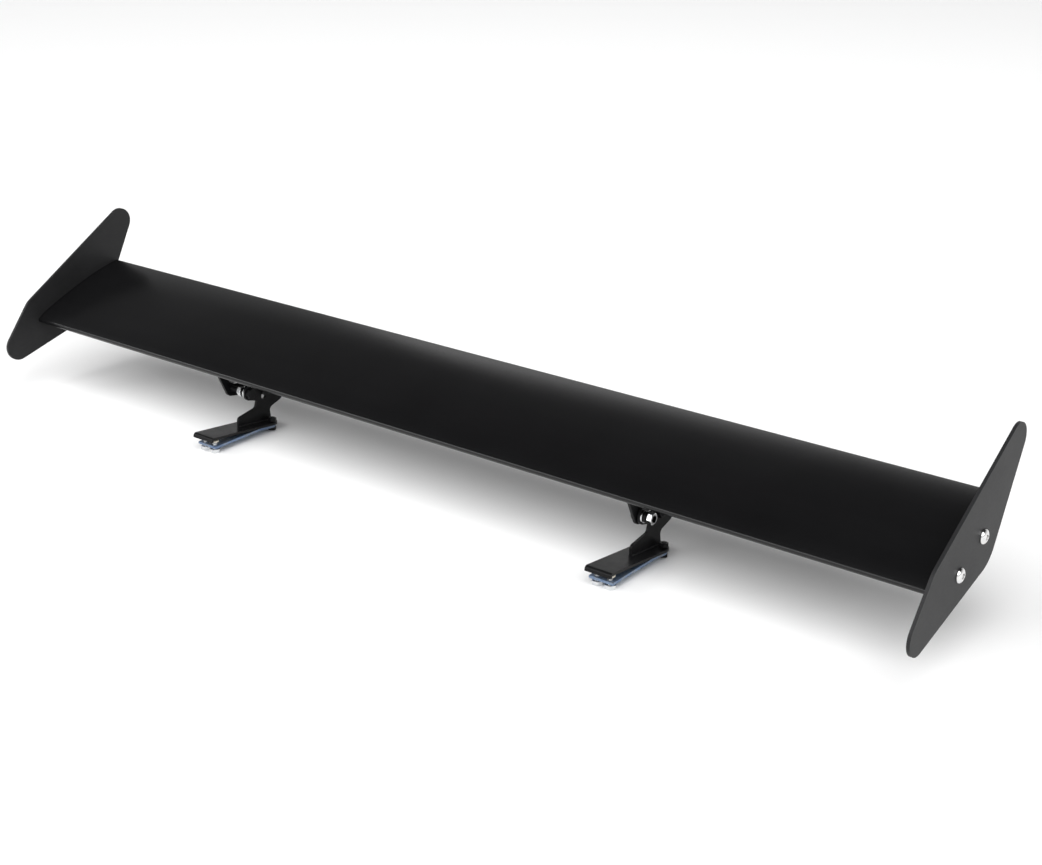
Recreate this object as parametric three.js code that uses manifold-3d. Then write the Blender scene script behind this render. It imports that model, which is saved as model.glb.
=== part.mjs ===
// A bolt-on rear wing: one hollow extruded blade between two flat end plates, carried by two clamp
// legs. Each leg tilts on a bracket, and the bracket slides along two T slots under the blade.
// Millimetres, +Z up, X along the span, +Y towards the rear. The model stands on its clamp bolts.

import * as THREE from 'three';
import { mergeVertices } from 'three/addons/utils/BufferGeometryUtils.js';
import Module from 'manifold-3d';

const wasm = await Module();
wasm.setup();

// ---------- driving dimensions ----------

const SPAN = 1100;               // between the middles of the two end plates
const PLATE_T = 3;               // end plate sheet
const PITCH = THREE.MathUtils.degToRad(24.6);   // chord above the horizontal, rear edge up
const GAP = 0.3;                 // clearance left between parts that touch

// Blade section, in the chord frame: Y along the chord from the front edge, Z square to it.
const NOSE = { y: 2.27, z: 1.8, r: 2.9 };       // small round front edge
const CREST = { y: 16, z: 6.35 };               // highest point of the top skin
const BROW = { y: 85, z: 2.7 };                 // from here the top skin rolls down to the rear edge
const BROW_R = 250;
const TAIL = { r: 1.3, y: 120.4 };              // round rear edge, seen from 51.5 degrees behind at this y
const PAD_Z = -14.8;             // flat underside that the brackets bear on
const PAD_FRONT = 14.7;
const PAD_REAR = 58;
const SKIN = 1.3;
const WEB = 1.3;

// Two T slots and two screw ports run the whole length of the blade.
const SLOT_Y = [22, 46];
const SLOT_MOUTH = 6.6;
const SLOT_WIDE = 11;
const SLOT_LIP = 1.8;
const SLOT_DEEP = 4.8;
const PORT = [[33.6, -7.6], [77.2, -6.9]];
const PORT_R = 2.6;
const PORT_WALL = 4.6;           // half width of the solid round each port

// Fasteners: flats, heights and radii of M6 and M5.
const M6 = { shank: 2.85, hole: 3.3, flats: 10, head: 4, nut: 5 };
const M5 = { shank: 2.35, hole: 2.75, flats: 8, head: 3.5, nut: 4 };
const WASHER_R = 6;
const WASHER_T = 1.6;
const SPRING_T = 3.9;            // double-coil spring washer
const PAN = { r: 6.5, h: 3.9, shank: 2.3, length: 16.5, socket: 2.1, socketDepth: 2.2 };

// Bracket under the blade, chord frame. x is measured outboard from the blade's middle.
const LEG_X = 251.5;             // middle of each leg
const SHEET = 2.5;               // leg and jaw steel
const EAR_T = 3;
const EAR_IN = LEG_X - 5;        // inboard edge of the bracket
const EAR_OUT = LEG_X + 27.5;    // outboard edge of the bracket
const PIVOT = { y: 23.1, z: -41.9 };
const LOCK = { y: 41.9, z: -52.7 };
const LONG_BOLT = 36;            // left tilt bolts, which cross from the leg to the far ear
const EAR_OUTLINE = [[14.5, PAD_Z - GAP, 0], [14.5, -46, 7], [46.5, -69.3, 12], [57, -40, 12], [57, PAD_Z - GAP, 0]];

// Leg and jaws, upright frame with the same origin as the chord frame.
const JAW_DROP = Math.atan(0.1083);             // the upper jaw falls towards the rear
const JAW_FRONT = { y: -25, z: -56.3 };         // top front corner of the upper jaw
const JAW_W = 28;
const JAW_REAR = 72;
const LIP_DROP = 3.6;            // turned-down lip below the top face's bend
const LIP_R = 3.4;
const LOWER_W = 26;
const LOWER_FRONT = -23;
const LOWER_BEND = 40;           // the lower jaw leaves the upper one here
const LOWER_REAR = 70;
const LOWER_FRONT_Z = -67;       // top of the lower jaw at its front end
const JAW_BOLT = { x: 7.8, y: 62 };
const SET_SCREW = { x: 6.8, y: -18, length: 7.2 };
const FOOT = { r: 4.2, t: 1.6 };
const SLOT_HALF_ANGLE = THREE.MathUtils.degToRad(18);

// Leg plate outline: foot, neck, head. Each corner is y, z and its radius.
const LEG_OUTLINE = [
  [21, -51.5, 4], [46, -47.2, 4], [48.5, -39.5, 2], [32.3, -35, 6.5], [32.5, -20, 8],
  [87, -13, 9], [86.5, -46, 8], [66, -52.5, 5], [67.5, -64, 3], [71, -65.3, 0],
];

const END_PLATE_OUTLINE = [[203.2, 52.2, 15], [-0.3, 29, 25], [-85.6, -14.3, 15.6], [81.7, -41.4, 30]];

// ---------- materials ----------

const finish = (color, roughness, metalness) => new THREE.MeshStandardMaterial({ color, roughness, metalness });
const BLACK_ANODISED = finish(0x1a1a1b, 0.4, 0.5);
const PLATE_BLACK = finish(0x303031, 0.5, 0.4);
const BLACK_STEEL = finish(0x1b1b1c, 0.5, 0.3);
const BLUE_ZINC = finish(0x9fb0c8, 0.3, 0.9);
const BRIGHT_ZINC = finish(0xd5d7da, 0.22, 0.95);
const NYLON = finish(0xd8d2c4, 0.6, 0);

// ---------- shapes ----------

// A closed outline whose corners [u, v, radius] are rounded by tangent arcs.
function roundedShape(corners) {
  const shape = new THREE.Shape();
  corners.forEach(([u, v, r], i) => {
    const here = new THREE.Vector2(u, v);
    const before = new THREE.Vector2(...corners.at(i - 1)).sub(here).normalize();
    const after = new THREE.Vector2(...corners[(i + 1) % corners.length]).sub(here).normalize();
    const half = Math.acos(THREE.MathUtils.clamp(before.dot(after), -1, 1)) / 2;
    const reach = r / Math.tan(half);
    const start = here.clone().addScaledVector(before, reach);
    if (i === 0) shape.moveTo(start.x, start.y);
    else shape.lineTo(start.x, start.y);
    if (r === 0) return;
    const centre = here.clone().addScaledVector(before.clone().add(after).normalize(), r / Math.sin(half));
    const end = here.clone().addScaledVector(after, reach);
    const from = Math.atan2(start.y - centre.y, start.x - centre.x);
    const to = Math.atan2(end.y - centre.y, end.x - centre.x);
    shape.absarc(centre.x, centre.y, r, from, to, before.cross(after) > 0);
  });
  shape.closePath();
  return shape;
}

const polygon = (points) => new THREE.Shape(points.map(([u, v]) => new THREE.Vector2(u, v)));

function circle(u, v, r) {
  const path = new THREE.Path();
  path.absarc(u, v, r, 0, Math.PI * 2);
  return path;
}

// Points along an arc about (cy, cz) between two angles, both ends included.
function arcPoints(cy, cz, r, from, to, steps) {
  return Array.from({ length: steps + 1 }, (_, i) => {
    const angle = from + ((to - from) * i) / steps;
    return [cy + r * Math.cos(angle), cz + r * Math.sin(angle)];
  });
}

// ---------- solids ----------

// Extrudes a Y-Z outline along X, between the two given stations in either order.
function alongX(shape, x0, x1, curveSegments = 8) {
  const depth = Math.abs(x1 - x0);
  const geometry = new THREE.ExtrudeGeometry(shape, { depth, bevelEnabled: false, curveSegments });
  const axes = [new THREE.Vector3(0, 1, 0), new THREE.Vector3(0, 0, 1), new THREE.Vector3(1, 0, 0)];
  geometry.applyMatrix4(new THREE.Matrix4().makeBasis(...axes));
  return geometry.translate(Math.min(x0, x1), 0, 0);
}

function alongZ(shape, z0, z1, curveSegments = 8) {
  const geometry = new THREE.ExtrudeGeometry(shape, { depth: z1 - z0, bevelEnabled: false, curveSegments });
  return geometry.translate(0, 0, z0);
}

function toManifold(geometry) {
  const bare = geometry.clone();
  bare.deleteAttribute('normal');
  bare.deleteAttribute('uv');
  const merged = mergeVertices(bare, 1e-4);
  const mesh = new wasm.Mesh({
    numProp: 3,
    vertProperties: new Float32Array(merged.attributes.position.array),
    triVerts: new Uint32Array(merged.index.array),
  });
  return new wasm.Manifold(mesh);
}

function toGeometry(manifold) {
  const mesh = manifold.getMesh();
  const geometry = new THREE.BufferGeometry();
  geometry.setAttribute('position', new THREE.BufferAttribute(new Float32Array(mesh.vertProperties), 3));
  geometry.setIndex(new THREE.BufferAttribute(new Uint32Array(mesh.triVerts), 1));
  geometry.computeVertexNormals();
  return geometry;
}

const joined = (...pieces) => toGeometry(pieces.map(toManifold).reduce((a, b) => a.add(b)));
const cut = (body, ...tools) => toGeometry(tools.map(toManifold).reduce((a, b) => a.subtract(b), toManifold(body)));
const common = (a, b) => toGeometry(toManifold(a).intersect(toManifold(b)));

const cylinder = (r, z0, z1, sides = 16) =>
  new THREE.CylinderGeometry(r, r, z1 - z0, sides).rotateX(Math.PI / 2).translate(0, 0, (z0 + z1) / 2);

function hexagon(flats) {
  const r = flats / Math.sqrt(3);
  const corner = (i) => [r * Math.cos((i * Math.PI) / 3), r * Math.sin((i * Math.PI) / 3)];
  return polygon([0, 1, 2, 3, 4, 5].map(corner));
}

function annulus(outer, hole) {
  outer.holes.push(circle(0, 0, hole));
  return outer;
}

// Fasteners stand on Z: a head hangs below z = 0 and its shank rises from there.
const hexBolt = (size, length) =>
  joined(alongZ(hexagon(size.flats), -size.head, 0), cylinder(size.shank, -size.head / 2, length));
const hexNut = (size) => alongZ(annulus(hexagon(size.flats), size.shank + GAP), 0, size.nut, 4);

function washer(r, hole, thick) {
  const disc = new THREE.Shape();
  disc.absarc(0, 0, r, 0, Math.PI * 2);
  return alongZ(annulus(disc, hole), 0, thick, 10);
}

// A spring washer: a ring split by one slanting cut.
function springWasher(r, hole, thick) {
  const slit = new THREE.BoxGeometry(r, 1, thick * 3).rotateX(0.35).translate(r / 2 + 1, 0, thick / 2);
  return cut(washer(r, hole, thick), slit);
}

// Pan-head socket screw: domed head above z = 0, shank below, hexagon socket in the dome.
function panScrew() {
  const dome = new THREE.EllipseCurve(0, 0, PAN.r, PAN.h, 0, Math.PI / 2).getPoints(5);
  const profile = [new THREE.Vector2(0, -PAN.length), new THREE.Vector2(PAN.shank, -PAN.length)];
  profile.push(new THREE.Vector2(PAN.shank, 0), ...dome.slice(0, -1), new THREE.Vector2(0, PAN.h));
  const body = new THREE.LatheGeometry(profile, 18).rotateX(Math.PI / 2);
  return cut(body, alongZ(hexagon(PAN.socket * 2), PAN.h - PAN.socketDepth, PAN.h + 1));
}

// ---------- blade ----------

// The top skin is one shallow arc, level at the crest, then a tighter one from the brow on.
const TOP_TURN = 2 * Math.atan((CREST.z - BROW.z) / (BROW.y - CREST.y));
const TOP_R = (BROW.y - CREST.y) / Math.sin(TOP_TURN);
const BROW_CENTRE = { y: BROW.y - BROW_R * Math.sin(TOP_TURN), z: BROW.z - BROW_R * Math.cos(TOP_TURN) };
const arcTop = (centre, r, y) => centre.z + Math.sqrt(r ** 2 - (y - centre.y) ** 2);
const topZ = (y) => (y < BROW.y
  ? arcTop({ y: CREST.y, z: CREST.z - TOP_R }, TOP_R, y)
  : arcTop(BROW_CENTRE, BROW_R, y));

// The brow hands over to the tail's round where that round touches the line set by TAIL.y.
const TAIL_LINE = THREE.MathUtils.degToRad(38.5);
const lineReach = (TAIL.y - BROW_CENTRE.y) * Math.cos(TAIL_LINE) - BROW_CENTRE.z * Math.sin(TAIL_LINE);
const BROW_END = TAIL_LINE + Math.acos((lineReach - TAIL.r) / (BROW_R - TAIL.r));
const TAIL_CENTRE = {
  y: BROW_CENTRE.y + (BROW_R - TAIL.r) * Math.cos(BROW_END),
  z: BROW_CENTRE.z + (BROW_R - TAIL.r) * Math.sin(BROW_END),
};
const TAIL_Z = TAIL_CENTRE.z - TAIL.r;
const underZ = (y) => PAD_Z + ((y - PAD_REAR) * (TAIL_Z - PAD_Z)) / (TAIL_CENTRE.y - PAD_REAR);

function slotNotch(y) {
  const mouth = SLOT_MOUTH / 2;
  const wide = SLOT_WIDE / 2;
  const lip = PAD_Z + SLOT_LIP;
  const top = lip + SLOT_DEEP;
  return [[y - mouth, PAD_Z], [y - mouth, lip], [y - wide, lip], [y - wide, top],
    [y + wide, top], [y + wide, lip], [y + mouth, lip], [y + mouth, PAD_Z]];
}

function bladeOutline() {
  const front = arcPoints(NOSE.y, NOSE.z, NOSE.r, Math.PI * 0.56, Math.PI * 1.25, 7);
  const frontTop = front[0];
  const rise = 2 * Math.atan((CREST.z - frontTop[1]) / (CREST.y - frontTop[0]));
  const riseR = (CREST.y - frontTop[0]) / Math.sin(rise);
  const quarter = Math.PI / 2;
  const points = [...front, [PAD_FRONT, PAD_Z]];
  SLOT_Y.forEach((y) => points.push(...slotNotch(y)));
  points.push([PAD_REAR, PAD_Z]);
  points.push(...arcPoints(TAIL_CENTRE.y, TAIL_CENTRE.z, TAIL.r, -quarter, BROW_END, 5));
  points.push(...arcPoints(BROW_CENTRE.y, BROW_CENTRE.z, BROW_R, BROW_END, quarter - TOP_TURN, 8).slice(1));
  points.push(...arcPoints(CREST.y, CREST.z - TOP_R, TOP_R, quarter - TOP_TURN, quarter, 12).slice(1));
  points.push(...arcPoints(CREST.y, CREST.z - riseR, riseR, quarter, quarter + rise, 3).slice(1, -1));
  return polygon(points);
}

// Hollows between the webs. Each has a flat floor and follows the top skin, and the ones beside a
// screw port step round it.
function bladeHollows() {
  const top = (y) => [y, topZ(y) - SKIN];
  const [portA, portB] = PORT;
  const web = WEB / 2;
  const floor = PAD_Z + SLOT_LIP + SLOT_DEEP + WEB;
  const slotEnd = SLOT_Y[1] + SLOT_WIDE / 2 + WEB * 2;
  const under = (y) => [y, underZ(y) + SKIN];
  const overA = portA[1] + PORT_WALL;
  const overB = portB[1] + PORT_WALL;
  const rib = 99;
  return [
    [[3.4, 3], [3.4, -1.4], [8.8, floor], [portA[0] - PORT_WALL, floor], [portA[0] - PORT_WALL, overA],
      [portA[0] - web, overA], top(portA[0] - web), top(24), top(CREST.y), [9, 4.6]],
    [top(portA[0] + web), [portA[0] + web, overA], [portA[0] + PORT_WALL, overA], [portA[0] + PORT_WALL, floor],
      [slotEnd, floor], top(slotEnd), top(44)],
    [top(slotEnd + WEB), [slotEnd + WEB, floor], [PAD_REAR, PAD_Z + SKIN], under(portB[0] - PORT_WALL),
      [portB[0] - PORT_WALL, overB], [portB[0] - web, overB], top(portB[0] - web), top(66)],
    [top(portB[0] + web), [portB[0] + web, overB], [portB[0] + PORT_WALL, overB], under(portB[0] + PORT_WALL),
      under(rib), top(rib), top(88)],
    [top(rib + WEB), under(rib + WEB), under(116), top(116), top(108)],
  ];
}

function blade() {
  const half = SPAN / 2 - PLATE_T / 2 - GAP;
  const through = (shape) => alongX(shape, -half - 1, half + 1, 6);
  const hollows = bladeHollows().map((points) => through(polygon(points)));
  const ports = PORT.map(([y, z]) => through(new THREE.Shape(circle(y, z, PORT_R).getPoints(6))));
  return cut(alongX(bladeOutline(), -half, half), ...hollows, ...ports);
}

function endPlate(side) {
  const shape = roundedShape(END_PLATE_OUTLINE);
  PORT.forEach(([y, z]) => shape.holes.push(circle(y, z, M6.hole)));
  const inner = side * (SPAN - PLATE_T) / 2;
  return alongX(shape, inner, inner + side * PLATE_T, 8);
}

// ---------- bracket ----------

const FLANGE_TOP = PAD_Z - GAP;
const SLOT_BOLT_X = (EAR_IN + EAR_OUT) / 2;

// One strip of sheet folded into an L: a flange under the blade and one ear. Both brackets are the
// same piece, so the ear is inboard of the right leg and outboard of the left one.
function bracket(side) {
  const earX = side > 0 ? EAR_IN : EAR_OUT - EAR_T;
  const under = FLANGE_TOP - EAR_T;
  const [front, rear] = [EAR_OUTLINE[0][0], EAR_OUTLINE.at(-1)[0]];
  const flangeShape = polygon([[front, under], [rear, under], [rear, FLANGE_TOP], [front, FLANGE_TOP]]);
  const flange = alongX(flangeShape, side * EAR_IN, side * EAR_OUT);
  const holes = SLOT_Y.map((y) =>
    cylinder(M6.hole, under - 1, FLANGE_TOP + 1).translate(side * SLOT_BOLT_X, y, 0));
  const ear = (x) => {
    const shape = roundedShape(EAR_OUTLINE);
    [PIVOT, LOCK].forEach(({ y, z }) => shape.holes.push(circle(y, z, M6.hole)));
    return alongX(shape, side * x, side * (x + EAR_T), 6);
  };
  return cut(joined(flange, ear(earX)), ...holes);
}

// ---------- leg and jaws ----------

const jawZ = (y) => JAW_FRONT.z - (y - JAW_FRONT.y) * Math.tan(JAW_DROP);
const jawUnderZ = (y) => jawZ(y) - SHEET / Math.cos(JAW_DROP);

function upright(point) {
  const y = point.y * Math.cos(PITCH) - point.z * Math.sin(PITCH);
  const z = point.y * Math.sin(PITCH) + point.z * Math.cos(PITCH);
  return { y, z };
}

const PIVOT_UP = upright(PIVOT);
const LOCK_UP = upright(LOCK);

// Slot about the pivot, in which the lock bolt travels as the leg tilts.
function tiltSlot() {
  const arm = Math.hypot(LOCK_UP.y - PIVOT_UP.y, LOCK_UP.z - PIVOT_UP.z);
  const middle = Math.atan2(LOCK_UP.z - PIVOT_UP.z, LOCK_UP.y - PIVOT_UP.y);
  const [low, high] = [middle - SLOT_HALF_ANGLE, middle + SLOT_HALF_ANGLE];
  const end = (angle) => [PIVOT_UP.y + arm * Math.cos(angle), PIVOT_UP.z + arm * Math.sin(angle)];
  const path = new THREE.Path();
  path.absarc(PIVOT_UP.y, PIVOT_UP.z, arm + M6.hole, low, high, false);
  path.absarc(...end(high), M6.hole, high, high + Math.PI, false);
  path.absarc(PIVOT_UP.y, PIVOT_UP.z, arm - M6.hole, high, low, true);
  path.absarc(...end(low), M6.hole, low + Math.PI, low + 2 * Math.PI, false);
  return path;
}

function legPlate(side) {
  const [footY] = LEG_OUTLINE[0];
  const [heelY] = LEG_OUTLINE.at(-1);
  const foot = [[heelY, jawZ(heelY) + GAP, 0], [footY, jawZ(footY) + GAP, 0]];
  const shape = roundedShape([...LEG_OUTLINE, ...foot]);
  shape.holes.push(circle(PIVOT_UP.y, PIVOT_UP.z, M6.hole), tiltSlot());
  return alongX(shape, side * LEG_X - SHEET / 2, side * LEG_X + SHEET / 2, 5);
}

// Plan of a jaw: square at the front, half round at the rear.
function jawPlan(side, width, front, rear) {
  const r = width / 2;
  const x = side * LEG_X;
  const shape = new THREE.Shape();
  shape.moveTo(x - r, front);
  shape.lineTo(x + r, front);
  shape.lineTo(x + r, rear - r);
  shape.absarc(x, rear - r, r, 0, Math.PI, false);
  shape.closePath();
  return alongZ(shape, -100, 0, 10);
}

// The jaw bolts stand square to the tilted rear of the jaws.
const jawBoltHoles = (side) => [-1, 1].map((k) =>
  cylinder(M5.hole, -12, 20).rotateX(-JAW_DROP).translate(side * LEG_X + k * JAW_BOLT.x, JAW_BOLT.y, JAW_BOLT_SEAT));

// Strip with its front end turned down over a round bend.
function upperJaw(side) {
  const { y, z } = JAW_FRONT;
  const bend = arcPoints(y, z - LIP_R, LIP_R, Math.PI / 2, Math.PI, 4);
  const inner = arcPoints(y, z - LIP_R, LIP_R - SHEET, Math.PI, Math.PI / 2, 3);
  const lipBottom = z - LIP_R - LIP_DROP + SHEET;
  const outline = [[JAW_REAR + 1, jawZ(JAW_REAR + 1)], ...bend, [y - LIP_R, lipBottom],
    [y - LIP_R + SHEET, lipBottom], ...inner, [JAW_REAR + 1, jawUnderZ(JAW_REAR + 1)]];
  const strip = alongX(polygon(outline), side * LEG_X - 20, side * LEG_X + 20);
  const shaped = common(strip, jawPlan(side, JAW_W, y - 10, JAW_REAR));
  return cut(shaped, ...jawBoltHoles(side));
}

const lowerTopRear = (y) => jawUnderZ(y) - GAP;
const lowerTopFront = (y) => LOWER_FRONT_Z
  + ((y - LOWER_FRONT) * (lowerTopRear(LOWER_BEND) - LOWER_FRONT_Z)) / (LOWER_BEND - LOWER_FRONT);

// Flat zinc plate: its rear lies against the upper jaw, its front opens away from it.
function lowerJaw(side) {
  const rest = [LOWER_BEND, LOWER_REAR + 1].map((y) => [y, lowerTopRear(y)]);
  const top = [[LOWER_FRONT, LOWER_FRONT_Z], ...rest];
  const bottom = top.map(([y, z]) => [y, z - SHEET]).reverse();
  const strip = alongX(polygon([...bottom, ...top]), side * LEG_X - 20, side * LEG_X + 20);
  const shaped = common(strip, jawPlan(side, LOWER_W, LOWER_FRONT, LOWER_REAR));
  const screwHoles = [-1, 1].map((k) =>
    cylinder(M6.shank + GAP, -80, -60).translate(side * LEG_X + k * SET_SCREW.x, SET_SCREW.y, 0));
  return cut(shaped, ...jawBoltHoles(side), ...screwHoles);
}

// Jaw bolts: head below the lower jaw, nut on the upper one.
const JAW_BOLT_SEAT = lowerTopRear(JAW_BOLT.y) - SHEET / Math.cos(JAW_DROP) - GAP;
const JAW_BOLT_LENGTH = 10.8;
const JAW_NUT_SEAT = jawZ(JAW_BOLT.y) + GAP;

// Every head that the wing stands on reaches the same level.
const JAW_HEAD_LOW = JAW_BOLT_SEAT - M5.head * Math.cos(JAW_DROP) - (M5.flats / Math.sqrt(3)) * Math.sin(JAW_DROP);
const SET_HEAD_TOP = JAW_HEAD_LOW + M6.head;
const FOOT_Z = SET_HEAD_TOP + SET_SCREW.length + GAP;

// ---------- assembly ----------

const wing = new THREE.Group();      // chord frame, pitched
wing.rotation.x = PITCH;
const legs = new THREE.Group();      // upright frame

function add(parent, name, geometry, material, place = [0, 0, 0], turn = [0, 0, 0]) {
  const mesh = new THREE.Mesh(geometry, material);
  mesh.name = name;
  mesh.position.set(...place);
  mesh.rotation.set(...turn);
  parent.add(mesh);
}

function addEnd(side, label) {
  add(wing, `end_plate_${label}`, endPlate(side), PLATE_BLACK);
  const turn = [0, (side * Math.PI) / 2, 0];
  const face = side * ((SPAN + PLATE_T) / 2 + GAP);
  ['front', 'rear'].forEach((spot, i) =>
    add(wing, `plate_screw_${label}_${spot}`, panScrew(), BRIGHT_ZINC, [face, ...PORT[i]], turn));
}

// The slot bolts hang from the T slots through the flange, and their nuts are below it.
function addSlotBolts(side, label) {
  ['front', 'rear'].forEach((spot, i) => {
    const tag = `${label}_${spot}`;
    const x = side * SLOT_BOLT_X;
    const y = SLOT_Y[i];
    const seat = PAD_Z + SLOT_LIP + GAP;
    const flangeUnder = FLANGE_TOP - EAR_T;
    add(wing, `slot_bolt_${tag}`, hexBolt(M6, 16), BRIGHT_ZINC, [x, y, seat], [Math.PI, 0, 0]);
    const washerLow = flangeUnder - GAP - WASHER_T;
    add(wing, `slot_washer_${tag}`, washer(WASHER_R, M6.hole, WASHER_T), BLACK_STEEL, [x, y, washerLow]);
    add(wing, `slot_nut_${tag}`, hexNut(M6), BLACK_STEEL, [x, y, washerLow - GAP - M6.nut]);
  });
}

// Pivot and lock bolts pass outboard. On the right they go through the ear and then the leg plate;
// on the left through the leg plate, and on to the ear, where a second nut holds each.
function addTiltBolts(side, label) {
  const turn = [0, (side * Math.PI) / 2, 0];
  const at = (x, spot) => [side * x, spot.y, spot.z];
  const washerX = LEG_X + SHEET / 2 + GAP;
  const springX = washerX + WASHER_T + GAP;
  const seat = side > 0 ? EAR_IN - GAP : LEG_X - SHEET / 2 - GAP;
  const [pivotLength, lockLength] = side > 0 ? [17.6, 16] : [LONG_BOLT, LONG_BOLT];
  add(wing, `pivot_bolt_${label}`, hexBolt(M6, pivotLength), BLACK_STEEL, at(seat, PIVOT), turn);
  add(wing, `pivot_washer_${label}`, washer(WASHER_R, M6.hole, WASHER_T), BRIGHT_ZINC, at(washerX, PIVOT), turn);
  const spring = springWasher(5.2, M6.hole, SPRING_T);
  add(wing, `pivot_spring_washer_${label}`, spring, BLACK_STEEL, at(springX, PIVOT), turn);
  add(wing, `pivot_nut_${label}`, hexNut(M6), BRIGHT_ZINC, at(springX + SPRING_T + GAP, PIVOT), turn);
  add(wing, `lock_bolt_${label}`, hexBolt(M6, lockLength), BLACK_STEEL, at(seat, LOCK), turn);
  add(wing, `lock_washer_${label}`, washer(WASHER_R, M6.hole, WASHER_T), BLACK_STEEL, at(washerX, LOCK), turn);
  add(wing, `lock_nut_${label}`, hexNut(M6), BLACK_STEEL, at(springX, LOCK), turn);
  if (side > 0) return;
  add(wing, `pivot_end_nut_${label}`, hexNut(M6), BRIGHT_ZINC, at(EAR_OUT + GAP, PIVOT), turn);
  add(wing, `lock_end_nut_${label}`, hexNut(M6), BRIGHT_ZINC, at(EAR_OUT + GAP, LOCK), turn);
}

function addJaws(side, label) {
  add(legs, `leg_plate_${label}`, legPlate(side), BLACK_STEEL);
  add(legs, `upper_jaw_${label}`, upperJaw(side), BLACK_STEEL);
  add(legs, `lower_jaw_${label}`, lowerJaw(side), BLUE_ZINC);
  [['inner', -side], ['outer', side]].forEach(([spot, k]) => {
    const tag = `${label}_${spot}`;
    const boltX = side * LEG_X + k * JAW_BOLT.x;
    const lean = [-JAW_DROP, 0, 0];
    add(legs, `jaw_bolt_${tag}`, hexBolt(M5, JAW_BOLT_LENGTH), BLACK_STEEL, [boltX, JAW_BOLT.y, JAW_BOLT_SEAT], lean);
    const rise = (JAW_NUT_SEAT - JAW_BOLT_SEAT) * Math.tan(JAW_DROP);
    add(legs, `jaw_nut_${tag}`, hexNut(M5), BLACK_STEEL, [boltX, JAW_BOLT.y + rise, JAW_NUT_SEAT], lean);
    const screwX = side * LEG_X + k * SET_SCREW.x;
    add(legs, `set_screw_${tag}`, hexBolt(M6, SET_SCREW.length), BRIGHT_ZINC, [screwX, SET_SCREW.y, SET_HEAD_TOP]);
    add(legs, `screw_foot_${tag}`, cylinder(FOOT.r, 0, FOOT.t), NYLON, [screwX, SET_SCREW.y, FOOT_Z]);
  });
}

add(wing, 'wing_blade', blade(), BLACK_ANODISED);
[[-1, 'left'], [1, 'right']].forEach(([side, label]) => {
  addEnd(side, label);
  add(wing, `bracket_${label}`, bracket(side), BLACK_STEEL);
  addSlotBolts(side, label);
  addTiltBolts(side, label);
  addJaws(side, label);
});

// The origin is on the ground, in the middle of the wing's footprint.
const model = new THREE.Group();
model.add(wing, legs);
model.updateMatrixWorld(true);
const box = new THREE.Box3().setFromObject(model, true);
const middle = box.getCenter(new THREE.Vector3());
model.position.set(-middle.x, -middle.y, -box.min.z);

export default model;
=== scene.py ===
"""A bolt-on rear wing: hollow aluminium blade, two end plates and two clamp legs."""
import math
import random

import bmesh
import bpy
from mathutils import Matrix, Vector


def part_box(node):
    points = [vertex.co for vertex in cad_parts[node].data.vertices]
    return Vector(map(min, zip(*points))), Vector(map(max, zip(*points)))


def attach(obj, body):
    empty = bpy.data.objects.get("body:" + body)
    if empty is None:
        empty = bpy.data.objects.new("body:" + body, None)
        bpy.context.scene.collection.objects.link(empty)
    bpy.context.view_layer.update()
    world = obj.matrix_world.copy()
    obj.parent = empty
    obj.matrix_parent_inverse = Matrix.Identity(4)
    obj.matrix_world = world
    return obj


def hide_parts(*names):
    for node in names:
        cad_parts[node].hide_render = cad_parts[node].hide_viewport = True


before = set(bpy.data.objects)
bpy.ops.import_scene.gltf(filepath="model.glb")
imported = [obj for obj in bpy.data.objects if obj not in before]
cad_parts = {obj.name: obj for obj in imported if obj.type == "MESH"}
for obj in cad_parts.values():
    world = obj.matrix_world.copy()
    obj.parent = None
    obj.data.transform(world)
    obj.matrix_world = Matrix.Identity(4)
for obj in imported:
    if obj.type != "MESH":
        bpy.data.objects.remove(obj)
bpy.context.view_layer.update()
MM = 0.001

# ---------------------------------------------------------------- blade
# The blade is one hollow aluminium extrusion, sawn to length and anodised black. The die leaves
# fine lines along its whole length, and the dye takes a touch unevenly between them. Its edges
# are broken just enough not to cut a hand.


def linear(hex_colour):
    """sRGB hex to linear RGBA."""
    channels = [int(hex_colour[i:i + 2], 16) / 255 for i in (1, 3, 5)]
    return [c / 12.92 if c <= 0.04045 else ((c + 0.055) / 1.055) ** 2.4 for c in channels] + [1.0]


def start_material(name):
    material = bpy.data.materials.new(name)
    material.use_nodes = True
    return material, material.node_tree, material.node_tree.nodes["Principled BSDF"]


def add(tree, kind, settings=None, links=None, **sockets):
    """Adds a node: attributes from settings, constant inputs by name, links as {input: output}."""
    node = tree.nodes.new(kind)
    for key, value in (settings or {}).items():
        setattr(node, key, value)
    for key, value in sockets.items():
        node.inputs[key.replace("_", " ")].default_value = value
    for key, output in (links or {}).items():
        tree.links.new(output, node.inputs[key])
    return node


def ramp(tree, source, stops, socket):
    """A colour ramp from source into a socket: stops are (position, linear colour)."""
    node = add(tree, "ShaderNodeValToRGB", links={"Fac": source})
    elements = node.color_ramp.elements
    while len(elements) < len(stops):
        elements.new(0.5)
    for element, (position, colour) in zip(elements, stops):
        element.position = position
        element.color = colour
    tree.links.new(node.outputs["Color"], socket)


def grey(value):
    return (value, value, value, 1.0)


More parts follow.
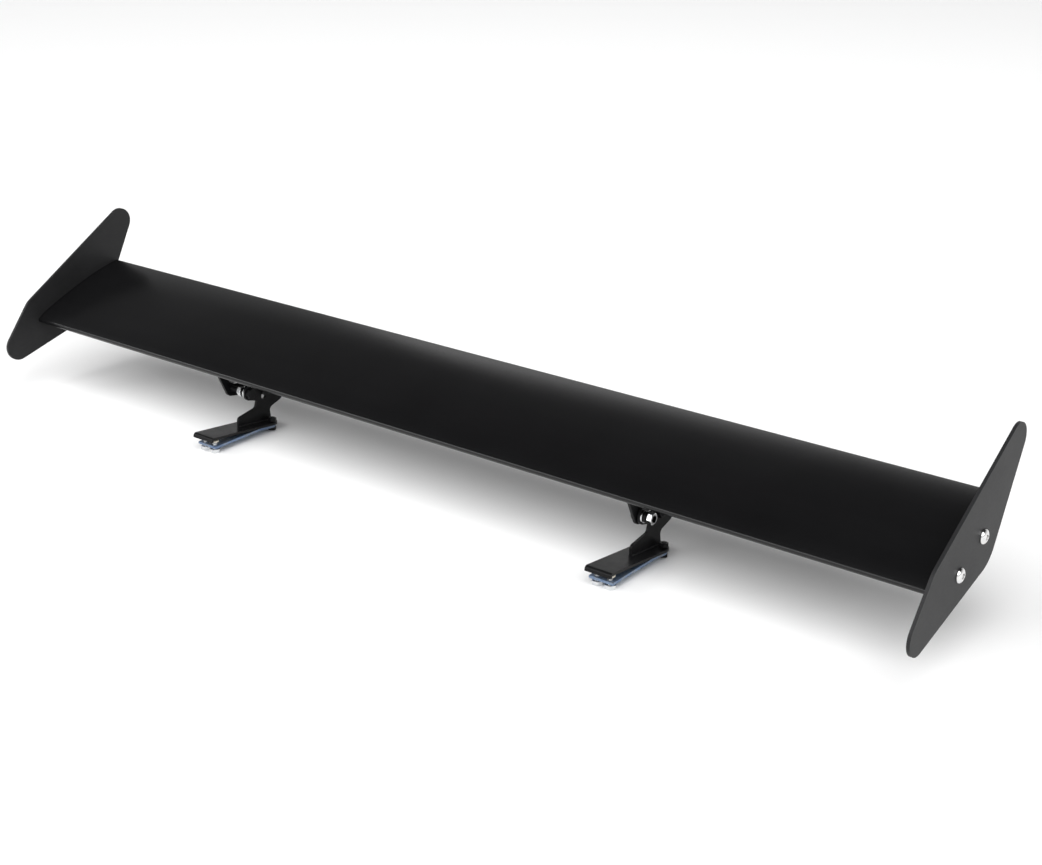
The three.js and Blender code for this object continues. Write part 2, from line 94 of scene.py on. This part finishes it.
def broken_edges(node, body, material, edge, segments=2, smooth=30):
    """A merged copy of a CAD piece with its sharp edges rounded by edge millimetres."""
    bm = bmesh.new()
    bm.from_mesh(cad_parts[node].data)
    bmesh.ops.remove_doubles(bm, verts=bm.verts[:], dist=1e-6)
    bmesh.ops.dissolve_limit(bm, angle_limit=math.radians(0.05), verts=bm.verts[:], edges=bm.edges[:])
    corners = [e for e in bm.edges if e.is_manifold and e.calc_face_angle() > math.radians(smooth)]
    bmesh.ops.bevel(bm, geom=corners, offset=edge * MM, offset_type="OFFSET", affect="EDGES",
                    segments=segments, profile=0.5, material=-1, clamp_overlap=True)
    piece = finish_piece(node + "_shell", bm, material, smooth)
    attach(piece, body)
    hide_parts(node)
    return piece


def finish_piece(name, bm, material, smooth=30):
    """Turns a bmesh into an object with soft shading up to the given edge angle."""
    bmesh.ops.triangulate(bm, faces=[f for f in bm.faces if len(f.verts) > 4])
    mesh = bpy.data.meshes.new(name)
    bm.to_mesh(mesh)
    bm.free()
    mesh.polygons.foreach_set("use_smooth", [True] * len(mesh.polygons))
    mesh.set_sharp_from_angle(angle=math.radians(smooth))
    mesh.materials.append(material)
    piece = bpy.data.objects.new(name, mesh)
    bpy.context.collection.objects.link(piece)
    weighted = piece.modifiers.new("weighted", "WEIGHTED_NORMAL")
    weighted.keep_sharp = True
    return piece


anodised, tree, shader = start_material("black_anodised_extrusion")
place = add(tree, "ShaderNodeTexCoord")
# Die lines: noise drawn out along the span, about 1.2 mm apart across it.
lines = add(tree, "ShaderNodeMapping", links={"Vector": place.outputs["Object"]}, Scale=(0.5, 800, 800))
streak = add(tree, "ShaderNodeTexNoise", links={"Vector": lines.outputs["Vector"]}, Scale=1, Detail=3,
             Roughness=0.6)
cloud = add(tree, "ShaderNodeTexNoise", links={"Vector": place.outputs["Object"]}, Scale=14, Detail=5,
            Roughness=0.55)
specks = add(tree, "ShaderNodeTexNoise", links={"Vector": place.outputs["Object"]}, Scale=2600, Detail=2)
mixed = add(tree, "ShaderNodeMix", {"data_type": "FLOAT"},
            {2: streak.outputs["Fac"], 3: cloud.outputs["Fac"]}, Factor=0.45)
ramp(tree, mixed.outputs[0], [(0.3, linear("#0b0b0c")), (0.7, linear("#101011"))],
     shader.inputs["Base Color"])
ramp(tree, mixed.outputs[0], [(0.3, grey(0.23)), (0.7, grey(0.27))],
     shader.inputs["Roughness"])
grain = add(tree, "ShaderNodeMix", {"data_type": "FLOAT"},
            {2: streak.outputs["Fac"], 3: specks.outputs["Fac"]}, Factor=0.35)
bump = add(tree, "ShaderNodeBump", links={"Height": grain.outputs[0]}, Strength=0.06, Distance=0.0001)
tree.links.new(bump.outputs["Normal"], shader.inputs["Normal"])
shader.inputs["Specular IOR Level"].default_value = 0.4

BLADE_EDGE = 0.2      # millimetres, as are the other edge radii
SKIN_FACET = 24       # degrees: edges sharper than this are broken
broken_edges("wing_blade", "wing", anodised, BLADE_EDGE, smooth=SKIN_FACET)

# ---------------------------------------------------------------- end plates
# Each end plate is 3 mm aluminium sheet, laser cut, its rim tumbled round, then anodised in the
# same black. The rolled sheet stays a little coarser than the extrusion, so it looks greyer.

sheet, tree, shader = start_material("black_anodised_rolled_sheet")
place = add(tree, "ShaderNodeTexCoord")
# Rolling grain 1.1 mm across and 4 mm long, drawn coarser than the real one so that it shows.
rolled = add(tree, "ShaderNodeMapping", links={"Vector": place.outputs["Object"]}, Scale=(900, 260, 900))
grit = add(tree, "ShaderNodeTexNoise", links={"Vector": rolled.outputs["Vector"]}, Scale=1, Detail=4,
           Roughness=0.65)
cloud = add(tree, "ShaderNodeTexNoise", links={"Vector": place.outputs["Object"]}, Scale=22, Detail=6,
            Roughness=0.6)
mixed = add(tree, "ShaderNodeMix", {"data_type": "FLOAT"},
            {2: grit.outputs["Fac"], 3: cloud.outputs["Fac"]}, Factor=0.5)
ramp(tree, mixed.outputs[0], [(0.32, linear("#1b1b1c")), (0.68, linear("#252526"))],
     shader.inputs["Base Color"])
ramp(tree, mixed.outputs[0], [(0.3, grey(0.42)), (0.7, grey(0.54))],
     shader.inputs["Roughness"])
bump = add(tree, "ShaderNodeBump", links={"Height": grit.outputs["Fac"]}, Strength=0.2, Distance=0.0001)
tree.links.new(bump.outputs["Normal"], shader.inputs["Normal"])
shader.inputs["Specular IOR Level"].default_value = 0.25

PLATE_EDGE = 0.5
for side in ("left", "right"):
    broken_edges(f"end_plate_{side}", "wing", sheet, PLATE_EDGE, segments=3)

# ---------------------------------------------------------------- brackets, legs and upper jaws
# The bracket, the leg plate and the upper jaw are steel sheet, laser cut and folded, then powder
# coated black. The coat is thick enough to round every edge and has a faint orange peel.

coated, tree, shader = start_material("black_powder_coated_steel")
place = add(tree, "ShaderNodeTexCoord")
# Orange peel about 1.4 mm apart.
peel = add(tree, "ShaderNodeTexNoise", links={"Vector": place.outputs["Object"]}, Scale=700, Detail=2,
           Roughness=0.5)
cloud = add(tree, "ShaderNodeTexNoise", links={"Vector": place.outputs["Object"]}, Scale=60, Detail=5,
            Roughness=0.6)
ramp(tree, cloud.outputs["Fac"], [(0.35, linear("#0e0e0f")), (0.65, linear("#161617"))],
     shader.inputs["Base Color"])
ramp(tree, cloud.outputs["Fac"], [(0.3, grey(0.30)), (0.7, grey(0.42))],
     shader.inputs["Roughness"])
bump = add(tree, "ShaderNodeBump", links={"Height": peel.outputs["Fac"]}, Strength=0.22, Distance=0.0003)
tree.links.new(bump.outputs["Normal"], shader.inputs["Normal"])
shader.inputs["Specular IOR Level"].default_value = 0.16

COATED_EDGE = 0.35
for side in ("left", "right"):
    broken_edges(f"bracket_{side}", f"bracket_{side}", coated, COATED_EDGE)
    broken_edges(f"leg_plate_{side}", f"leg_{side}", coated, COATED_EDGE)
    broken_edges(f"upper_jaw_{side}", f"leg_{side}", coated, COATED_EDGE)

# ---------------------------------------------------------------- lower jaws
# The lower jaw is the same sheet left in its zinc plating, passivated a clear blue that drifts
# towards grey in patches. It takes the set screws, so faint tool marks run along it.

zinc_blue, tree, shader = start_material("blue_passivated_zinc_plate")
place = add(tree, "ShaderNodeTexCoord")
cloud = add(tree, "ShaderNodeTexNoise", links={"Vector": place.outputs["Object"]}, Scale=90, Detail=5,
            Roughness=0.6)
# Tool marks about 0.6 mm apart and 17 mm long.
drawn = add(tree, "ShaderNodeMapping", links={"Vector": place.outputs["Object"]}, Scale=(1800, 60, 1800))
marks = add(tree, "ShaderNodeTexNoise", links={"Vector": drawn.outputs["Vector"]}, Scale=1, Detail=3)
stops = [(0.32, linear("#5c7091")), (0.5, linear("#74869f")), (0.7, linear("#85888c"))]
ramp(tree, cloud.outputs["Fac"], stops,
     shader.inputs["Base Color"])
ramp(tree, marks.outputs["Fac"], [(0.3, grey(0.38)), (0.7, grey(0.55))],
     shader.inputs["Roughness"])
bump = add(tree, "ShaderNodeBump", links={"Height": marks.outputs["Fac"]}, Strength=0.12, Distance=0.0002)
tree.links.new(bump.outputs["Normal"], shader.inputs["Normal"])
shader.inputs["Metallic"].default_value = 0.6

JAW_EDGE = 0.3
for side in ("left", "right"):
    broken_edges(f"lower_jaw_{side}", f"leg_{side}", zinc_blue, JAW_EDGE)

# ---------------------------------------------------------------- weld beads
# A MIG bead runs along each side of the leg plate's foot and joins it to the upper jaw. It is laid
# in short overlapping puddles, and the black coat covers it.

BEAD_STEP = 1.7 * MM
BEAD_R = 1.5 * MM
FOOT_RISE = 6.2 * MM      # the foot's lower edge climbs less than this towards the front
SHEET = 2.5 * MM
random.seed(11)

for side in ("left", "right"):
    leg_low, leg_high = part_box(f"leg_plate_{side}")
    foot = [v.co.copy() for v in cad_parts[f"leg_plate_{side}"].data.vertices]
    heel = min(foot, key=lambda p: p.z)
    front = min((p for p in foot if p.z < heel.z + FOOT_RISE), key=lambda p: p.y)
    middle = (leg_low[0] + leg_high[0]) / 2
    run = Vector((0, heel.y - front.y, heel.z - front.z))
    steps = int(run.length / BEAD_STEP)
    bm = bmesh.new()
    for face in (-1, 1):
        for i in range(1, steps):
            at = Vector((0, front.y, front.z)) + run * (i / steps)
            wobble = random.uniform(0.88, 1.08)
            puddle = bmesh.ops.create_icosphere(bm, subdivisions=2, radius=BEAD_R * wobble)["verts"]
            bmesh.ops.scale(bm, vec=(0.95, 0.9, 0.8), verts=puddle)
            bmesh.ops.translate(bm, vec=(middle + face * SHEET / 2, at.y, at.z), verts=puddle)
    bead = finish_piece(f"weld_bead_{side}", bm, coated, 60)
    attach(bead, f"leg_{side}")

# ---------------------------------------------------------------- bolts and screws
# Cold-forged hexagon bolts with rolled threads, zinc plated and bright. The free face of each head
# is turned to a 30 degree chamfer, and the thread ends in a short cone. The tilt bolts and the
# jaw bolts are black.


def lathed(bm, rings, segments=48, closed=False):
    """Rings of (radius, z, hexagon across flats or 0), each joined to the next."""
    loops = []
    for radius, z, flats in rings:
        made = bmesh.ops.create_circle(bm, cap_ends=False, segments=segments, radius=1.0)["verts"]
        for v in made:
            turn = math.atan2(v.co.y, v.co.x)
            reach = radius
            if flats:
                wedge = (turn % (math.pi / 3)) - math.pi / 6
                reach = min(radius, flats / 2 / math.cos(wedge))
            v.co = Vector((math.cos(turn) * reach, math.sin(turn) * reach, z))
        loops.append(list({e for v in made for e in v.link_edges}))
    pairs = list(zip(loops, loops[1:] + loops[:1])) if closed else list(zip(loops, loops[1:]))
    for a, b in pairs:
        bmesh.ops.bridge_loops(bm, edges=a + b)
    if not closed:
        for loop in (loops[0], loops[-1]):
            bmesh.ops.contextual_create(bm, geom=loop)


FACE_SHARE = 0.96         # the round face left by the chamfer, as a share of the flats
CHAMFER_RINGS = 6


def chamfered_hex(bm, flats, z0, z1, chamfer_low, chamfer_high, bore=0.0):
    """A hexagon prism whose corners are cut by a 30 degree cone at the chosen ends."""
    corner = flats / math.sqrt(3)
    face = flats / 2 * FACE_SHARE
    drop = (corner - face) * math.tan(math.radians(30))
    fall = CHAMFER_RINGS
    rings = []
    if chamfer_low:
        rings += [(face + (corner - face) * i / fall, z0 + drop * i / fall, flats) for i in range(fall + 1)]
    else:
        rings += [(corner, z0, flats)]
    if chamfer_high:
        rings += [(corner - (corner - face) * i / fall, z1 - drop + drop * i / fall, flats)
                  for i in range(fall + 1)]
    else:
        rings += [(corner, z1, flats)]
    if bore:
        rings += [(bore * 1.12, z1, 0), (bore, z1 - bore * 0.12, 0), (bore, z0 + bore * 0.12, 0),
                  (bore * 1.12, z0, 0)]
    lathed(bm, rings, closed=bool(bore))


def thread(bm, crest, root, pitch, z0, z1, steps=20):
    """A rolled thread from z0 to z1: one V of the profile, spun up the shank, round a solid core."""
    turns = (z1 - z0) / pitch - 1
    profile = [bm.verts.new((r, 0, z0 + h * pitch)) for r, h in
               ((root, 0), (crest, 0.42), (crest, 0.58), (root, 1))]
    edges = [bm.edges.new(pair) for pair in zip(profile, profile[1:])]
    count = max(8, int(turns * steps))
    bmesh.ops.spin(bm, geom=profile + edges, cent=(0, 0, 0), axis=(0, 0, 1),
                   dvec=(0, 0, turns * pitch / count), angle=turns * 2 * math.pi, steps=count,
                   use_merge=False, use_normal_flip=False, use_duplicate=False)
    lathed(bm, [(root * 0.4, z0, 0), (root * 1.02, z0 + 0.2 * MM, 0), (root * 1.02, z1 - pitch, 0),
                (root * 0.8, z1, 0)], segments=24)


def along(node, axis):
    """Where a turned CAD piece sits: a matrix from its own axis at z = 0 upwards, and its length."""
    axis = Vector(axis).normalized()
    turn = axis.to_track_quat("Z", "Y").to_matrix().to_4x4()
    local = [turn.inverted() @ v.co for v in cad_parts[node].data.vertices]
    lows = [min(p[i] for p in local) for i in range(3)]
    highs = [max(p[i] for p in local) for i in range(3)]
    foot = turn @ Vector(((lows[0] + highs[0]) / 2, (lows[1] + highs[1]) / 2, lows[2]))
    return Matrix.Translation(foot) @ turn, highs[2] - lows[2]


def put(node, body, bm, matrix, material, smooth=30):
    """Finishes a turned piece in place of its CAD node."""
    bmesh.ops.recalc_face_normals(bm, faces=bm.faces[:])
    bmesh.ops.transform(bm, matrix=matrix, verts=bm.verts[:])
    piece = finish_piece(node + "_part", bm, material, smooth)
    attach(piece, body)
    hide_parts(node)
    return piece


bright, tree, shader = start_material("bright_zinc_plated_steel")
place = add(tree, "ShaderNodeTexCoord")
cloud = add(tree, "ShaderNodeTexNoise", links={"Vector": place.outputs["Object"]}, Scale=260, Detail=4,
            Roughness=0.6)
marks = add(tree, "ShaderNodeTexNoise", links={"Vector": place.outputs["Object"]}, Scale=1500, Detail=2)
ramp(tree, cloud.outputs["Fac"], [(0.3, linear("#c9ccd1")), (0.7, linear("#e6e6e4"))],
     shader.inputs["Base Color"])
ramp(tree, cloud.outputs["Fac"], [(0.3, grey(0.14)), (0.7, grey(0.26))],
     shader.inputs["Roughness"])
bump = add(tree, "ShaderNodeBump", links={"Height": marks.outputs["Fac"]}, Strength=0.08, Distance=0.0001)
tree.links.new(bump.outputs["Normal"], shader.inputs["Normal"])
shader.inputs["Metallic"].default_value = 1.0

M6 = {"flats": 10 * MM, "head": 4 * MM, "crest": 2.92 * MM, "root": 2.42 * MM, "pitch": 1.0 * MM}
M5 = {"flats": 8 * MM, "head": 3.5 * MM, "crest": 2.42 * MM, "root": 2.0 * MM, "pitch": 0.8 * MM}


def hex_bolt(node, body, size, axis, material):
    matrix, length = along(node, axis)
    bm = bmesh.new()
    chamfered_hex(bm, size["flats"], 0, size["head"], True, False)
    thread(bm, size["crest"], size["root"], size["pitch"], size["head"] - 0.3 * MM, length)
    put(node, body, bm, matrix, material)


pitch_angle = math.radians(24.6)
blade_up = Vector((0, -math.sin(pitch_angle), math.cos(pitch_angle)))
jaw_lean = math.atan(0.1083)
jaw_up = Vector((0, math.sin(jaw_lean), math.cos(jaw_lean)))

for side, out in (("left", -1), ("right", 1)):
    for spot in ("front", "rear"):
        hex_bolt(f"slot_bolt_{side}_{spot}", f"bracket_{side}", M6, -blade_up, bright)
    hex_bolt(f"pivot_bolt_{side}", f"bracket_{side}", M6, (out, 0, 0), coated)
    hex_bolt(f"lock_bolt_{side}", f"bracket_{side}", M6, (out, 0, 0), coated)
    for spot in ("inner", "outer"):
        hex_bolt(f"jaw_bolt_{side}_{spot}", f"leg_{side}", M5, jaw_up, coated)
        hex_bolt(f"set_screw_{side}_{spot}", f"screw_{side}_{spot}", M6, (0, 0, 1), bright)

# ---------------------------------------------------------------- nuts
# Plain hexagon nuts, chamfered on both faces, the thread countersunk at each end. The pivot nuts
# and the end nuts are zinc plated and bright, and the others are black.


def hex_nut(node, body, size, axis, material):
    matrix, height = along(node, axis)
    bm = bmesh.new()
    chamfered_hex(bm, size["flats"], 0, height, True, True, bore=size["crest"] + 0.12 * MM)
    put(node, body, bm, matrix, material)


for side, out in (("left", -1), ("right", 1)):
    for spot in ("front", "rear"):
        hex_nut(f"slot_nut_{side}_{spot}", f"bracket_{side}", M6, blade_up, coated)
    hex_nut(f"pivot_nut_{side}", f"bracket_{side}", M6, (out, 0, 0), bright)
    hex_nut(f"lock_nut_{side}", f"bracket_{side}", M6, (out, 0, 0), coated)
    for spot in ("inner", "outer"):
        hex_nut(f"jaw_nut_{side}_{spot}", f"leg_{side}", M5, jaw_up, coated)
for node in ("pivot_end_nut_left", "lock_end_nut_left"):
    hex_nut(node, "bracket_left", M6, (-1, 0, 0), bright)

# ---------------------------------------------------------------- washers
# Flat washers are stamped from strip, so their rims are rounded on one side. The spring washer is
# a double coil of flat black wire, its turns sprung a little apart.

WASHER_HOLE = 3.2 * MM
WASHER_EDGE = 0.25 * MM
SPRING_IN, SPRING_OUT = 3.2 * MM, 5.15 * MM
WIRE_SHARE = 0.4          # one turn's thickness, as a share of the whole washer's
COIL_TURN = 700           # degrees, a little under two turns
COIL_STEPS = 92


def flat_washer(node, body, axis, material, outer=6 * MM):
    matrix, height = along(node, axis)
    edge = WASHER_EDGE
    bm = bmesh.new()
    lathed(bm, [(WASHER_HOLE, 0, 0), (outer - edge, 0, 0), (outer, edge, 0), (outer, height - edge * 0.4, 0),
                (outer - edge * 0.4, height, 0), (WASHER_HOLE + edge * 0.4, height, 0),
                (WASHER_HOLE, height - edge * 0.4, 0)], closed=True)
    put(node, body, bm, matrix, material)


for side, out in (("left", -1), ("right", 1)):
    for spot in ("front", "rear"):
        flat_washer(f"slot_washer_{side}_{spot}", f"bracket_{side}", blade_up, coated)
    flat_washer(f"pivot_washer_{side}", f"bracket_{side}", (out, 0, 0), bright)
    flat_washer(f"lock_washer_{side}", f"bracket_{side}", (out, 0, 0), coated)
    node = f"pivot_spring_washer_{side}"
    matrix, height = along(node, (out, 0, 0))
    thick = height * WIRE_SHARE
    lift = height - thick
    bm = bmesh.new()
    square = [bm.verts.new((r, 0, z)) for r, z in
              ((SPRING_IN, 0), (SPRING_OUT, 0), (SPRING_OUT, thick), (SPRING_IN, thick))]
    start = bm.faces.new(square)
    bmesh.ops.spin(bm, geom=[start], cent=(0, 0, 0), axis=(0, 0, 1), dvec=(0, 0, lift / COIL_STEPS),
                   angle=math.radians(COIL_TURN), steps=COIL_STEPS, use_merge=False,
                   use_normal_flip=False, use_duplicate=False)
    put(node, f"bracket_{side}", bm, matrix, coated)

# ---------------------------------------------------------------- end plate screws
# Button-head socket screws, forged and nickel plated to a mirror. The low dome ends in a short
# upright rim against the plate, and a hexagon socket is sunk in its middle.

chrome, tree, shader = start_material("polished_nickel_plate")
place = add(tree, "ShaderNodeTexCoord")
cloud = add(tree, "ShaderNodeTexNoise", links={"Vector": place.outputs["Object"]}, Scale=300, Detail=3,
            Roughness=0.5)
ramp(tree, cloud.outputs["Fac"], [(0.3, linear("#dcdcdd")), (0.7, linear("#efeeec"))],
     shader.inputs["Base Color"])
ramp(tree, cloud.outputs["Fac"], [(0.3, grey(0.06)), (0.7, grey(0.12))],
     shader.inputs["Roughness"])
shader.inputs["Metallic"].default_value = 1.0

HEAD_R, HEAD_H, RIM = 6.5 * MM, 3.9 * MM, 0.5 * MM
SOCKET = 4.2 * MM
SOCKET_DEPTH = 2.3 * MM

for side, out in (("left", -1), ("right", 1)):
    for spot in ("front", "rear"):
        node = f"plate_screw_{side}_{spot}"
        matrix, length = along(node, (out, 0, 0))
        seat = length - HEAD_H
        dome = [(HEAD_R * math.cos(a), seat + RIM + (HEAD_H - RIM) * math.sin(a), 0)
                for a in [math.radians(6 + 8.1 * i) for i in range(8)]]
        lip = SOCKET / math.sqrt(3)
        top = seat + RIM + (HEAD_H - RIM) * math.sqrt(1 - (lip * 1.12 / HEAD_R) ** 2)
        bm = bmesh.new()
        lathed(bm, [(2.3 * MM, seat - 0.5 * MM, 0), (HEAD_R * 0.97, seat, 0),
                    (HEAD_R, seat + 0.15 * MM, 0)] + dome
               + [(lip * 1.12, top, 0), (lip * 1.04, top - 0.1 * MM, 0), (lip, top - 0.25 * MM, SOCKET),
                  (lip, length - SOCKET_DEPTH, SOCKET), (SOCKET * 0.2, length - SOCKET_DEPTH - 0.5 * MM, 0)])
        thread(bm, 2.3 * MM, 1.9 * MM, 0.8 * MM, 0, seat)
        put(node, "wing", bm, matrix, chrome)

# ---------------------------------------------------------------- screw feet
# Turned nylon pads on the tips of the set screws. They stop the steel tips from marking the panel
# and have a slightly rounded rim.

nylon, tree, shader = start_material("natural_nylon_turned")
place = add(tree, "ShaderNodeTexCoord")
cloud = add(tree, "ShaderNodeTexNoise", links={"Vector": place.outputs["Object"]}, Scale=400, Detail=4,
            Roughness=0.6)
ramp(tree, cloud.outputs["Fac"], [(0.3, linear("#cfc8b8")), (0.7, linear("#e2dccd"))],
     shader.inputs["Base Color"])
bump = add(tree, "ShaderNodeBump", links={"Height": cloud.outputs["Fac"]}, Strength=0.1, Distance=0.0002)
tree.links.new(bump.outputs["Normal"], shader.inputs["Normal"])
shader.inputs["Roughness"].default_value = 0.5

for side in ("left", "right"):
    for spot in ("inner", "outer"):
        node = f"screw_foot_{side}_{spot}"
        matrix, height = along(node, (0, 0, 1))
        bm = bmesh.new()
        radius, edge = 4.2 * MM, 0.35 * MM
        lathed(bm, [(radius - edge, 0, 0), (radius, edge, 0), (radius, height - edge, 0),
                    (radius - edge * 0.3, height - edge * 0.3, 0), (radius - edge, height, 0)])
        put(node, f"foot_{side}_{spot}", bm, matrix, nylon)

# ---------------------------------------------------------------- floor and light
# A plain pale studio floor. The light is a pale horizon under a dark ceiling, an even light from
# above the front, a weak soft box at the right, a long one at the front left and a long one behind.

floor_paint, tree, shader = start_material("matt_white_studio_floor")
shader.inputs["Base Color"].default_value = linear("#f4f4f4")
shader.inputs["Roughness"].default_value = 0.9
bm = bmesh.new()
bmesh.ops.create_grid(bm, x_segments=1, y_segments=1, size=40)
floor = finish_piece("studio_floor", bm, floor_paint)

world = bpy.data.worlds.new("studio")
bpy.context.scene.world = world
world.use_nodes = True
tree = world.node_tree
background = tree.nodes["Background"]
place = add(tree, "ShaderNodeTexCoord")
height = add(tree, "ShaderNodeSeparateXYZ", links={"Vector": place.outputs["Generated"]})
# Brightness by height: white at the horizon, nearly black overhead.
sky_stops = [(0.02, 1.0), (0.2, 0.72), (0.5, 0.32), (0.62, 0.08), (0.8, 0.03)]
ramp(tree, height.outputs["Z"], [(level, grey(value)) for level, value in sky_stops],
     background.inputs["Color"])
background.inputs["Strength"].default_value = 1.0


def soft_box(name, place_m, target, size, watts):
    light = bpy.data.lights.new(name, "AREA")
    light.shape = "RECTANGLE"
    light.size, light.size_y = size
    light.energy = watts
    box = bpy.data.objects.new(name, light)
    box.location = place_m
    box.rotation_mode = "QUATERNION"
    box.rotation_quaternion = (Vector(target) - Vector(place_m)).to_track_quat("-Z", "Y")
    bpy.context.collection.objects.link(box)


soft_box("key_right", (2.6, -0.4, 1.5), (0.4, 0, 0.1), (1.2, 1.2), 12)
soft_box("fill_front", (-1.7, -2.2, 1.9), (0, 0, 0.1), (3.4, 0.7), 36)
soft_box("strip_behind", (-0.9, 2.45, 2.05), (0, 0.02, 0.15), (3.2, 0.42), 9)

even_light = bpy.data.lights.new("even_light", "SUN")
even_light.energy = 3.1
even_light.angle = math.radians(60)
even = bpy.data.objects.new("even_light", even_light)
even.rotation_mode = "QUATERNION"
even.rotation_quaternion = Vector((-0.25, 0.55, -0.8)).to_track_quat("-Z", "Y")
bpy.context.collection.objects.link(even)

CAMERA_PLACE = (1.0298, -1.1658, 0.6785)
CAMERA_AIM = (-0.5765, 0.7289, -0.3692)
CAMERA_LENS = 59.54
camera_data = bpy.data.cameras.new("camera")
camera = bpy.data.objects.new("camera", camera_data)
bpy.context.collection.objects.link(camera)
bpy.context.scene.camera = camera
camera_data.sensor_width = 36.0
camera_data.lens = CAMERA_LENS
camera_data.clip_start, camera_data.clip_end = 0.05, 100
camera.location = CAMERA_PLACE
camera.rotation_mode = "QUATERNION"
camera.rotation_quaternion = Vector(CAMERA_AIM).to_track_quat("-Z", "Y")
bpy.context.scene.view_settings.view_transform = "Standard"
